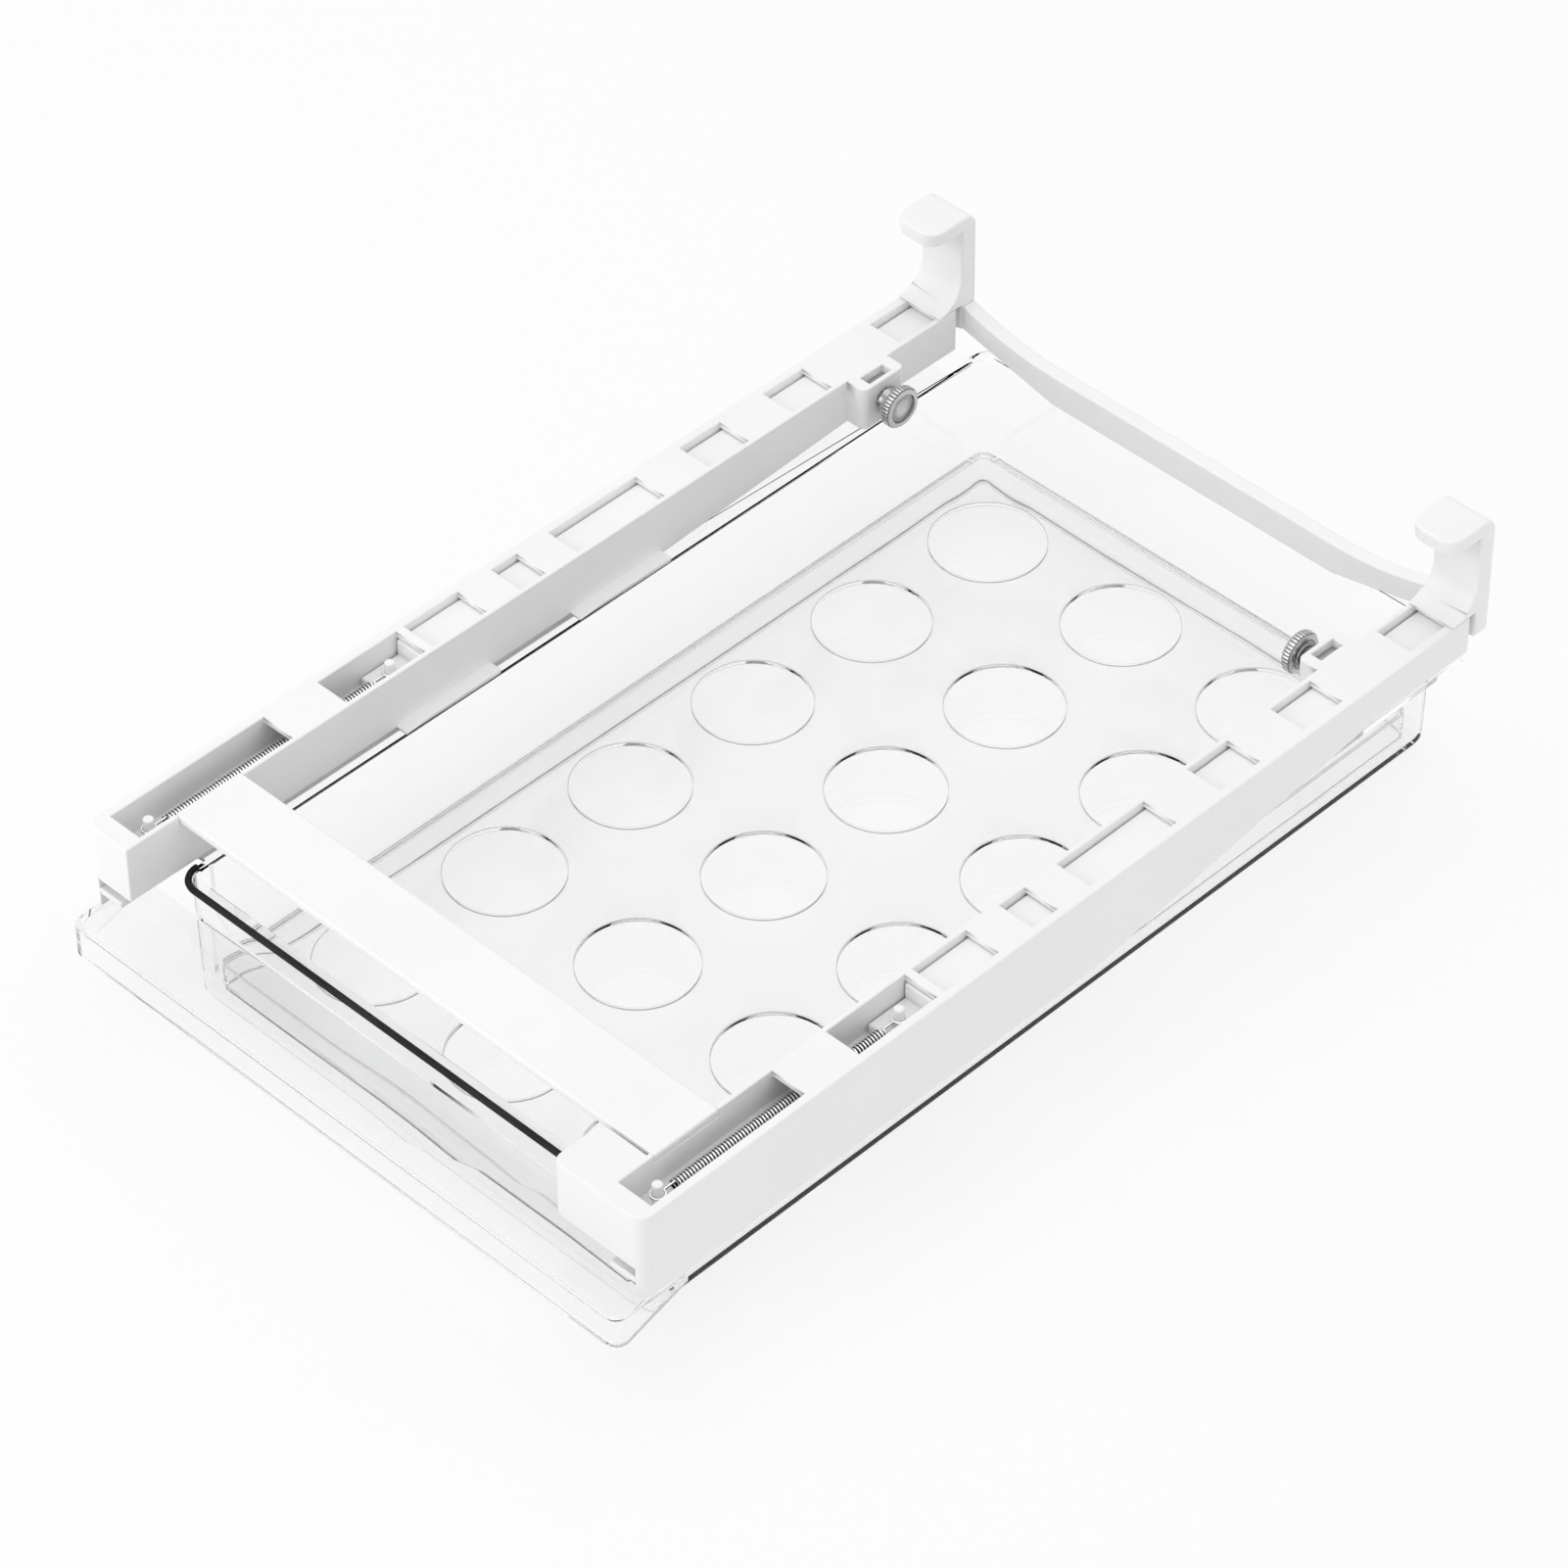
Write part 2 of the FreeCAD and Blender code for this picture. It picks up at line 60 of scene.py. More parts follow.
flat_turn = math.radians(0.6)
smooth_turn = math.radians(28)
corner_turn = math.radians(32)


def joined_copy(node, cuts, keen_spots):
    """The CAD piece as one closed mesh: flat faces whole, parted where a cut crosses their holes.

    Outer corners are marked for rounding, except near the keen spots; inner corners stay sharp.
    """
    form = bmesh.new()
    form.from_mesh(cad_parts[node].data)
    bmesh.ops.remove_doubles(form, verts=form.verts, dist=same_point)
    for axis, place in cuts:
        normal = Vector((axis == "x", axis == "y", axis == "z"))
        everything = form.verts[:] + form.edges[:] + form.faces[:]
        parted = bmesh.ops.bisect_plane(form, geom=everything, dist=same_point / 2,
                                        plane_co=normal * place, plane_no=normal)
        for line in parted["geom_cut"]:
            if isinstance(line, bmesh.types.BMEdge):
                line.seam = True
    bmesh.ops.dissolve_limit(form, angle_limit=flat_turn, verts=form.verts, edges=form.edges,
                             delimit={"SEAM"})
    rounding = form.edges.layers.float.new("bevel_weight_edge")
    for line in form.edges:
        turn = line.calc_face_angle_signed(0)
        middle = (line.verts[0].co + line.verts[1].co) / 2
        keen = any((middle - Vector(spot)).length < reach for spot, reach in keen_spots)
        rounded = turn > corner_turn and not keen
        line[rounding] = float(rounded)
        line.smooth = rounded or abs(turn) < smooth_turn
    for face in form.faces:
        face.smooth = True
    mesh = bpy.data.meshes.new(node)
    form.to_mesh(mesh)
    form.free()
    return mesh


def new_object(name, data):
    """An object in the scene that shows a mesh, curve, lamp or camera."""
    made = bpy.data.objects.new(name, data)
    bpy.context.scene.collection.objects.link(made)
    return made


def plain_mesh(maker, name):
    """What an object shows after its modifiers, as a plain mesh on a new object at the origin."""
    bpy.context.view_layer.update()
    shown = maker.evaluated_get(bpy.context.evaluated_depsgraph_get())
    mesh = bpy.data.meshes.new_from_object(shown)
    mesh.name = name
    bpy.data.objects.remove(maker)
    return new_object(name, mesh)


def moulded(node, name, edge, material, body, cuts=(), segments=2, keen_spots=()):
    """A piece as it leaves the mould: the CAD form with its sharp edges rounded."""
    maker = new_object(name + "_form", joined_copy(node, cuts, keen_spots))
    bevel = maker.modifiers.new("edges", "BEVEL")
    bevel.width = edge
    bevel.segments = segments
    bevel.limit_method = "WEIGHT"
    bevel.use_clamp_overlap = False
    closed = maker.modifiers.new("closed_corners", "WELD")
    closed.merge_threshold = same_point / 2
    even = maker.modifiers.new("flat_faces", "WEIGHTED_NORMAL")
    even.keep_sharp = True
    piece = plain_mesh(maker, name)
    piece.data.materials.clear()
    piece.data.materials.append(material)
    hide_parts(node)
    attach(piece, body)
    return piece


def new_material(name):
    """A new material, its node tree and its shader."""
    material = bpy.data.materials.new(name)
    material.use_nodes = True
    tree = material.node_tree
    return material, tree, tree.nodes["Principled BSDF"]


def noise(tree, scale, detail=2):
    """Soft clouds of one scale that stay with the piece, as a share from 0 to 1."""
    place = tree.nodes.new("ShaderNodeTexCoord")
    cloud = tree.nodes.new("ShaderNodeTexNoise")
    cloud.inputs["Scale"].default_value = scale
    cloud.inputs["Detail"].default_value = detail
    tree.links.new(place.outputs["Object"], cloud.inputs["Vector"])
    return cloud.outputs["Fac"]


def toned(tree, shader, share, steps):
    """Base colour by a share, along a ramp of places and colours."""
    ramp = tree.nodes.new("ShaderNodeValToRGB")
    stops = ramp.color_ramp.elements
    for place, colour in steps[1:-1]:
        stops.new(place).color = (*colour, 1)
    for stop, (place, colour) in ((stops[0], steps[0]), (stops[len(steps) - 1], steps[-1])):
        stop.position = place
        stop.color = (*colour, 1)
    tree.links.new(share, ramp.inputs["Fac"])
    tree.links.new(ramp.outputs["Color"], shader.inputs["Base Color"])


def uneven_gloss(tree, shader, share, low, high):
    """Roughness by a share, from low to high."""
    gloss = tree.nodes.new("ShaderNodeMapRange")
    gloss.inputs["To Min"].default_value = low
    gloss.inputs["To Max"].default_value = high
    tree.links.new(share, gloss.inputs["Value"])
    tree.links.new(gloss.outputs["Result"], shader.inputs["Roughness"])


def uneven_surface(tree, shader, share, strength, depth):
    """Fine relief by a share."""
    bump = tree.nodes.new("ShaderNodeBump")
    bump.inputs["Strength"].default_value = strength
    bump.inputs["Distance"].default_value = depth
    tree.links.new(share, bump.inputs["Height"])
    tree.links.new(bump.outputs["Normal"], shader.inputs["Normal"])


def white_moulding(name, colour, grain, roughness):
    """Matte white polypropylene: faint cloudy tone, fine grain in the gloss and in the surface."""
    material, tree, shader = new_material(name)
    shade_share = (0.975, 0.975, 0.98)
    shade = [light * share for light, share in zip(colour, shade_share)]
    toned(tree, shader, noise(tree, scale=22, detail=3), ((0.35, shade), (0.65, colour)))
    speck = noise(tree, scale=grain)
    gloss_spread = 0.06
    uneven_gloss(tree, shader, speck, low=roughness - gloss_spread, high=roughness + gloss_spread)
    uneven_surface(tree, shader, speck, strength=0.12, depth=0.00008)
    shader.inputs["IOR"].default_value = 1.49
    return material


rail_colour = (0.92, 0.92, 0.922)
rail_white = white_moulding("white_rail_plastic", rail_colour, grain=1900, roughness=0.42)
for side, way in sides:
    moulded(side + "_rail", side + "_rail_moulding", rail_edge, rail_white, "frame",
            cuts=(("x", way * channel_line), ("y", boss_line), ("z", boss_level)))

# Front crossbar: one flat white bar, ribbed below, that clips into notches in the rail tops.
# It ties the rails together under the front edge of the shelf.
crossbar_edge = 0.0006
crossbar_colour = (0.93, 0.93, 0.932)
crossbar_white = white_moulding("white_crossbar_plastic", crossbar_colour, grain=1700, roughness=0.38)
moulded("front_crossbar", "front_crossbar_moulding", crossbar_edge, crossbar_white,
        "frame")

# Sliders with their hooks: long white bars that run in the rails' channels and end in shelf hooks.
# Each is one stiff moulding with soft edges where it grips the shelf.
hook_edge = 0.0007
tenon_line = 0.15535
hook_root_side = 0.0923
hook_root_rear = 0.1440
hook_root_level = 0.0597
hook_root_reach = 0.0095
hook_colour = (0.925, 0.925, 0.927)
hook_white = white_moulding("white_hook_plastic", hook_colour, grain=1900, roughness=0.4)
for side, way in sides:
    sharp_root = ((way * hook_root_side, hook_root_rear, hook_root_level), hook_root_reach)
    moulded(side + "_slider", side + "_hook_slider", hook_edge, hook_white, "hook_frame",
            cuts=(("y", tenon_line),), segments=3, keen_spots=(sharp_root,))

# Rear crossbar: upright white bar between the hooks, moulded with flared ends.
# A tenon at each end seats in the side of a hook, so both hooks reach out together.
rear_bar_edge = 0.0006
moulded("rear_crossbar", "rear_crossbar_moulding", rear_bar_edge, hook_white,
        "hook_frame")

# Extension springs: close-wound drawn steel wire with a ring round a post at each end.
# One end stays on the rail, the other goes with the slider, so the coil opens as the hooks reach out.
coil_turns = 72
wire_radius = 0.00035
coil_radius = 0.0016
ring_radius = 0.00195
spring_level = 0.0520
front_post = -0.1399
rear_post = -0.0564
coil_inset = 0.0058
coil_length = rear_post - front_post - 2 * coil_inset


def new_tree(name, inputs):
    """A node tree with its named inputs, which makes one mesh."""
    tree = bpy.data.node_groups.new(name, "GeometryNodeTree")
    for label, kind in inputs:
        tree.interface.new_socket(label, in_out="INPUT", socket_type="NodeSocket" + kind)
    tree.interface.new_socket("Geometry", in_out="OUTPUT", socket_type="NodeSocketGeometry")
    return tree, tree.nodes.new("NodeGroupInput").outputs


def finished_tree(tree, geometry, material):
    """Ends a tree with its repeats made real and its material set."""
    real = tree.nodes.new("GeometryNodeRealizeInstances")
    tree.links.new(geometry, real.inputs["Geometry"])
    painted = tree.nodes.new("GeometryNodeSetMaterial")
    tree.links.new(real.outputs["Geometry"], painted.inputs["Geometry"])
    tree.links.new(material, painted.inputs["Material"])
    tree.links.new(painted.outputs["Geometry"], tree.nodes.new("NodeGroupOutput").inputs[0])
    return tree


def spring_tree():
    """Coil, two end rings and the short leads between them, swept into round wire."""
    tree, given = new_tree("wound_spring", (
        ("Turns", "Float"), ("Coil Radius", "Float"), ("Coil Length", "Float"), ("Wire Radius", "Float"),
        ("Ring Radius", "Float"), ("Lead", "Float"), ("Steel", "Material")))
    nodes, links = tree.nodes, tree.links
    coil = nodes.new("GeometryNodeCurveSpiral")
    coil.inputs["Resolution"].default_value = 14
    links.new(given["Turns"], coil.inputs["Rotations"])
    links.new(given["Coil Radius"], coil.inputs["Start Radius"])
    links.new(given["Coil Radius"], coil.inputs["End Radius"])
    links.new(given["Coil Length"], coil.inputs["Height"])
    upright = nodes.new("GeometryNodeTransform")
    upright.inputs["Rotation"].default_value = (0, 0, -math.pi / 2)
    links.new(coil.outputs["Curve"], upright.inputs["Geometry"])
    along = nodes.new("GeometryNodeTransform")
    along.inputs["Rotation"].default_value = (-math.pi / 2, 0, 0)
    links.new(upright.outputs["Geometry"], along.inputs["Geometry"])
    joined = nodes.new("GeometryNodeJoinGeometry")
    links.new(along.outputs["Geometry"], joined.inputs["Geometry"])
    reach = nodes.new("ShaderNodeMath")
    reach.operation = "ADD"
    links.new(given["Coil Length"], reach.inputs[0])
    links.new(given["Lead"], reach.inputs[1])
    before = nodes.new("ShaderNodeMath")
    before.operation = "MULTIPLY"
    before.inputs[1].default_value = -1
    links.new(given["Lead"], before.inputs[0])
    ends = ((before.outputs[0], None, 1), (reach.outputs[0], given["Coil Length"], -1))
    for ring_place, coil_end, way in ends:
        centre = nodes.new("ShaderNodeCombineXYZ")
        links.new(ring_place, centre.inputs["Y"])
        links.new(given["Coil Radius"], centre.inputs["Z"])
        ring = nodes.new("GeometryNodeCurvePrimitiveCircle")
        ring.inputs["Resolution"].default_value = 28
        links.new(given["Ring Radius"], ring.inputs["Radius"])
        placed = nodes.new("GeometryNodeTransform")
        links.new(centre.outputs[0], placed.inputs["Translation"])
        links.new(ring.outputs["Curve"], placed.inputs["Geometry"])
        links.new(placed.outputs["Geometry"], joined.inputs["Geometry"])
        edge = nodes.new("ShaderNodeMath")
        edge.operation = "MULTIPLY_ADD"
        edge.inputs[1].default_value = way
        links.new(given["Ring Radius"], edge.inputs[0])
        links.new(ring_place, edge.inputs[2])
        lead_start = nodes.new("ShaderNodeCombineXYZ")
        links.new(edge.outputs[0], lead_start.inputs["Y"])
        links.new(given["Coil Radius"], lead_start.inputs["Z"])
        lead_end = nodes.new("ShaderNodeCombineXYZ")
        links.new(given["Coil Radius"], lead_end.inputs["Z"])
        if coil_end is not None:
            links.new(coil_end, lead_end.inputs["Y"])
        lead = nodes.new("GeometryNodeCurvePrimitiveLine")
        links.new(lead_start.outputs[0], lead.inputs["Start"])
        links.new(lead_end.outputs[0], lead.inputs["End"])
        links.new(lead.outputs["Curve"], joined.inputs["Geometry"])
    round_wire = nodes.new("GeometryNodeCurvePrimitiveCircle")
    round_wire.inputs["Resolution"].default_value = 8
    links.new(given["Wire Radius"], round_wire.inputs["Radius"])
    swept = nodes.new("GeometryNodeCurveToMesh")
    swept.inputs["Fill Caps"].default_value = True
    links.new(joined.outputs["Geometry"], swept.inputs["Curve"])
    links.new(round_wire.outputs["Curve"], swept.inputs["Profile Curve"])
    smooth = nodes.new("GeometryNodeSetShadeSmooth")
    links.new(swept.outputs["Mesh"], smooth.inputs["Geometry"])
    return finished_tree(tree, smooth.outputs["Geometry"], given["Steel"])


def grown_by(tree, name, values):
    """A plain mesh piece made by a node tree, with its named inputs set."""
    maker = new_object(name + "_form", bpy.data.meshes.new(name + "_seed"))
    grower = maker.modifiers.new("grown", "NODES")
    grower.node_group = tree
    for item in tree.interface.items_tree:
        if item.item_type == "SOCKET" and item.in_out == "INPUT" and item.name in values:
            grower[item.identifier] = values[item.name]
    return plain_mesh(maker, name)


def axis_distance(tree, line, across):
    """How far each point lies from a straight line; left and right pieces mirror each other."""
    given = tree.nodes.new("ShaderNodeTexCoord").outputs["Object"]
    for operation, value in (("ABSOLUTE", None), ("SUBTRACT", line), ("MULTIPLY", across),
                             ("LENGTH", None)):
        step = tree.nodes.new("ShaderNodeVectorMath")
        step.operation = operation
        tree.links.new(given, step.inputs[0])
        if value is not None:
            step.inputs[1].default_value = value
        given = step.outputs[0]
    return step.outputs["Value"]


def share_between(tree, value, low, high):
    """Where a value lies between low and high, as a share from 0 to 1."""
    share = tree.nodes.new("ShaderNodeMapRange")
    share.inputs["From Min"].default_value = low
    share.inputs["From Max"].default_value = high
    tree.links.new(value, share.inputs["Value"])
    return share.outputs["Result"]


def greys(*steps):
    """Ramp steps of place and plain grey."""
    return [(place, (tone, tone, tone)) for place, tone in steps]


spring_steel, steel_tree, steel_shader = new_material("drawn_spring_steel")
steel_shader.inputs["Metallic"].default_value = 1
uneven_gloss(steel_tree, steel_shader, noise(steel_tree, scale=900), low=0.2, high=0.4)
# Painted light and shade: the wire is coloured bright on its outer crown and upper side and near black on
# its inner side and low flank, where shade would fall in the channel.
steel_far = axis_distance(steel_tree, (channel_line, 0, spring_level), (1, 0, 1))
crown_highlight_share = share_between(steel_tree, steel_far, coil_radius - wire_radius, coil_radius + wire_radius)
steel_place = steel_tree.nodes.new("ShaderNodeTexCoord")
steel_parts = steel_tree.nodes.new("ShaderNodeSeparateXYZ")
steel_tree.links.new(steel_place.outputs["Object"], steel_parts.inputs["Vector"])
painted_shade_level = spring_level - coil_radius * 0.6
painted_highlight_level = spring_level + coil_radius * 0.5
painted_shade_by_height = share_between(steel_tree, steel_parts.outputs["Z"], painted_shade_level, painted_highlight_level)
painted_spring_light = steel_tree.nodes.new("ShaderNodeMath")
painted_spring_light.operation = "MULTIPLY"
steel_tree.links.new(crown_highlight_share, painted_spring_light.inputs[0])
steel_tree.links.new(painted_shade_by_height, painted_spring_light.inputs[1])
toned(steel_tree, steel_shader, painted_spring_light.outputs[0], greys((0.5, 0.015), (0.72, 0.3), (0.92, 0.97)))

wound_spring = spring_tree()
for side, way in sides:
    spring = grown_by(wound_spring, side + "_wound_spring", {
        "Turns": float(coil_turns), "Coil Radius": coil_radius, "Coil Length": coil_length,
        "Wire Radius": wire_radius, "Ring Radius": ring_radius, "Lead": coil_inset, "Steel": spring_steel})
    spring.data.transform(Matrix.Translation((way * channel_line, front_post + coil_inset, spring_level)))
    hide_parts(side + "_spring")
    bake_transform(spring)

# Thumbscrews: turned and plated steel with a straight-knurled head, a tapered collar and a rolled thread.
# Their tips press on the sliders and lock the hooks at the reach that the shelf needs.
head_face = 0.0708
head_back = 0.0738
collar_end = 0.077
screw_tip = 0.0864
head_radius = 0.0062
head_round = 0.0004
head_ridges = 36
ridge_depth = 0.0003
dish_radius = 0.0041
dish_depth = 0.0005
dish_slope = 0.0003
neck_radius = 0.0030
collar_radius = 0.0040
collar_land = 0.0010
edge_break = 0.0002
thread_radius = 0.0025
thread_pitch = 0.0008
thread_depth = 0.00035
thread_steps = 8
tip_radius = 0.0018
tip_slope = 0.0003
screw_steps = 144

bright_metal, metal_tree, metal_shader = new_material("bright_plated_steel")
metal_shader.inputs["Metallic"].default_value = 1
metal_place = metal_tree.nodes.new("ShaderNodeTexCoord")
metal_turning = metal_tree.nodes.new("ShaderNodeTexWave")
metal_turning.wave_type = "BANDS"
metal_turning.bands_direction = "X"
metal_turning.inputs["Scale"].default_value = 2600
metal_turning.inputs["Distortion"].default_value = 1.5
metal_tree.links.new(metal_place.outputs["Object"], metal_turning.inputs["Vector"])
uneven_gloss(metal_tree, metal_shader, metal_turning.outputs["Fac"], low=0.14, high=0.28)
# Painted light and shade: the colour goes in rings by distance from the screw's line, so the dish darkens
# outwards, a near-black line lies on the dish's slope and another on the round between face and knurl, and
# the land and knurl are lighter.
metal_far = axis_distance(metal_tree, (0, boss_line, boss_level), (0, 1, 1))
head_painted_rings = share_between(metal_tree, metal_far, 0, head_radius)
toned(metal_tree, metal_shader, head_painted_rings,
      greys((0.3, 0.62), (0.5, 0.36), (0.65, 0.34), (0.69, 0.1), (0.74, 0.62), (0.92, 0.55), (0.953, 0.08),
            (1.0, 0.8)))


def screw_outline():
    """Profile of the screw from its head to its tip: distance along X, radius and kind of surface."""
    chamfer = head_radius - edge_break
    land = chamfer - head_round
    knurl_inset = head_round + edge_break
    rows = [(head_face + dish_depth, 0.0, "plain"), (head_face + dish_depth, dish_radius, "plain"),
            (head_face, dish_radius + dish_slope, "plain"), (head_face, land, "plain"),
            (head_face + head_round, chamfer, "plain"), (head_face + knurl_inset, head_radius, "knurl"),
            (head_back - knurl_inset, head_radius, "knurl"), (head_back - head_round, chamfer, "plain"),
            (head_back, land, "plain"), (head_back, neck_radius + edge_break, "plain"),
            (head_back + head_round, neck_radius, "plain"),
            (collar_end - collar_land, collar_radius - edge_break / 2, "plain"),
            (collar_end - edge_break, collar_radius, "plain"),
            (collar_end, collar_radius - edge_break, "plain"), (collar_end, thread_radius, "plain")]
    thread_length = screw_tip - collar_end
    thread_rows = int(thread_length / thread_pitch * thread_steps)
    for row in range(1, thread_rows):
        rows.append((collar_end + thread_length * row / thread_rows, thread_radius, "thread"))
    rows += [(screw_tip - edge_break, tip_radius + tip_slope, "plain"), (screw_tip, tip_radius, "plain"),
             (screw_tip, 0.0, "plain")]
    return rows


def turned_screw(name, way):
    """One thumbscrew, turned about its own line."""
    form = bmesh.new()
    rings = []
    for x, radius, surface in screw_outline():
        if radius == 0:
            rings.append([form.verts.new((way * x, boss_line, boss_level))])
            continue
        ring = []
        for step in range(screw_steps):
            turn = 2 * math.pi * step / screw_steps
            r = radius
            if surface == "knurl":
                r -= ridge_depth * (0.5 + 0.5 * math.cos(turn * head_ridges))
            if surface == "thread":
                phase = (x / thread_pitch - turn / (2 * math.pi)) % 1
                r -= thread_depth * abs(2 * phase - 1)
            y = boss_line + r * math.cos(turn)
            z = boss_level + r * math.sin(turn)
            ring.append(form.verts.new((way * x, y, z)))
        rings.append(ring)
    for ring, following in zip(rings, rings[1:]):
        for step in range(screw_steps):
            after = (step + 1) % screw_steps
            corners = [ring[step % len(ring)], ring[after % len(ring)],
                       following[after % len(following)], following[step % len(following)]]
            form.faces.new(list(dict.fromkeys(corners)))
    bmesh.ops.recalc_face_normals(form, faces=form.faces)
    mesh = bpy.data.meshes.new(name)
    form.to_mesh(mesh)
    form.free()
    mesh.shade_smooth()
    mesh.set_sharp_from_angle(angle=math.radians(35))
    mesh.materials.append(bright_metal)
    return new_object(name, mesh)


for side, way in sides:
    screw = turned_screw(side + "_knurled_screw", way)
    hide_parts(side + "_thumbscrew")
    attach(screw, side + "_screw")

# Clamp nuts: small square pressed nuts that drop into pockets in the rails' bosses.
# The pocket keeps each from turning while its thumbscrew is done up.
nut_edge = 0.0003
nut_steel, nut_tree, nut_shader = new_material("plated_nut_steel")
nut_shader.inputs["Metallic"].default_value = 1
nut_shader.inputs["Roughness"].default_value = 0.35
toned(nut_tree, nut_shader, noise(nut_tree, scale=500), greys((0, 0.36), (1, 0.55)))
for side in ("left", "right"):
    moulded(side + "_clamp_nut", side + "_square_nut", nut_edge, nut_steel, "frame")

# Drawer basin: one clear moulding with drafted walls, side flanges and a pull ledge in front.
# Thin clear walls show little but their edges; the polished front wall and inner rim are the clearest.
basin_edge = 0.0004
window_front = -0.1402
window_rear = -0.1285
clear_rim_low = 0.0365
clear_rim_inner = 0.078
clear_rim_outer = 0.09
clear_rim_tilt = 0.25


def mixed_surface(tree, output, share, first, second):
    """Shows the second surface by a share and the first for the rest."""
    mix = tree.nodes.new("ShaderNodeMixShader")
    tree.links.new(share, mix.inputs["Fac"])
    tree.links.new(first, mix.inputs[1])
    tree.links.new(second, mix.inputs[2])
    tree.links.new(mix.outputs["Shader"], tree.nodes[output].inputs["Surface"])


def clear_moulding(name, colour, roughness, ripple, bending):
    """Clear plastic: glass-like, faintly uneven from the mould, and lamps shine straight through it."""
    material, tree, shader = new_material(name)
    shader.inputs["Base Color"].default_value = (*colour, 1)
    shader.inputs["Transmission Weight"].default_value = 1
    shader.inputs["IOR"].default_value = bending
    flow = noise(tree, scale=45)
    uneven_gloss(tree, shader, flow, low=roughness * 0.5, high=roughness * 1.5)
    uneven_surface(tree, shader, flow, strength=ripple, depth=0.0002)
    rays = tree.nodes.new("ShaderNodeLightPath")
    through = tree.nodes.new("ShaderNodeBsdfTransparent")
    through.inputs["Color"].default_value = (0.93, 0.93, 0.935, 1)
    mixed_surface(tree, "Material Output", rays.outputs["Is Shadow Ray"], shader.outputs["BSDF"],
                  through.outputs["BSDF"])
    return material


basin_colour = (0.975, 0.977, 0.978)
window_colour = (0.985, 0.986, 0.987)
basin_gloss = 0.03
basin_ripple = 0.08
basin_clear = clear_moulding("clear_drawer_plastic", basin_colour, basin_gloss, basin_ripple, bending=1.3)
window_clear = clear_moulding("clear_window_plastic", window_colour, basin_gloss, basin_ripple,
                              bending=1.07)
basin = moulded("drawer_basin", "clear_drawer_basin", basin_edge, basin_clear, "drawer",
                cuts=(("x", 0.0), ("y", window_rear)))
basin.data.materials.append(window_clear)
for face in basin.data.polygons:
    in_window = window_front < face.center.y < window_rear
    on_rim = face.center.z > clear_rim_low and clear_rim_inner < abs(face.center.x) < clear_rim_outer
    outward = face.normal.x * math.copysign(1, face.center.x) > clear_rim_tilt
    downward = face.normal.z < -clear_rim_tilt
    if in_window or on_rim and not outward and not downward:
        face.material_index = 1

# Front edge of the rim: the sheet's thickness is seen end on there and looks dark; a thin near-black bead
# paints that shade along the rim's front and round its two corners.
rim_line_level = 0.0403
rim_line_front = -0.1385
rim_line_half = 0.0834
rim_line_return = 0.0064
rim_line_radius = 0.00095
rim_line_corner = 0.006
corner_steps = 10

# The bead's near-black colour, with faint random tone, is painted shade.
rim_shade_paint, edge_tree, edge_shader = new_material("painted_rim_shade")
edge_steps = ((0, (0.012, 0.012, 0.013)), (1, (0.04, 0.04, 0.042)))
toned(edge_tree, edge_shader, noise(edge_tree, scale=60), edge_steps)
edge_shader.inputs["Roughness"].default_value = 0.6
edge_shader.inputs["Specular IOR Level"].default_value = 0.1


def corner_arc(x, y, radius, start):
    """Points of a quarter turn about a corner's centre, from the start angle in degrees."""
    turns = [math.radians(start + 90 * step / corner_steps) for step in range(corner_steps + 1)]
    return [(x + radius * math.cos(turn), y + radius * math.sin(turn)) for turn in turns]


def edge_line(name, outline, level, radius):
    """A thin round bead of painted shade along an outline at one level."""
    curve = bpy.data.curves.new(name, "CURVE")
    curve.dimensions = "3D"
    curve.bevel_depth = radius
    curve.bevel_resolution = 3
    curve.use_fill_caps = True
    run = curve.splines.new("POLY")
    run.points.add(len(outline) - 1)
    for point, (x, y) in zip(run.points, outline):
        point.co = (x, y, level, 1)
    piece = plain_mesh(new_object(name + "_form", curve), name)
    piece.data.shade_smooth()
    piece.data.materials.clear()
    piece.data.materials.append(rim_shade_paint)
    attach(piece, "drawer")


rim_turn = rim_line_half - rim_line_corner
rim_outline = [(-rim_line_half, rim_line_front + rim_line_return)]
rim_outline += corner_arc(-rim_turn, rim_line_front + rim_line_corner, rim_line_corner, 180)
rim_outline += corner_arc(rim_turn, rim_line_front + rim_line_corner, rim_line_corner, 270)
rim_outline.append((rim_line_half, rim_line_front + rim_line_return))
edge_line("rim_edge_line", rim_outline, rim_line_level, rim_line_radius)

# Cup tray: thin clear sheet with a grid of round holes, moulded with a skirt all round.
# It stands on the drawer's floor on that skirt and lifts out for washing.
tray_low, tray_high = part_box("cup_tray")
tray_columns = 3
tray_rows = 6
tray_column_pitch = 0.0496
tray_row_pitch = 0.0461
tray_hole = 0.0165
tray_sheet = 0.0015
tray_corner = 0.004
tray_edge = 0.0003
hole_steps = 56


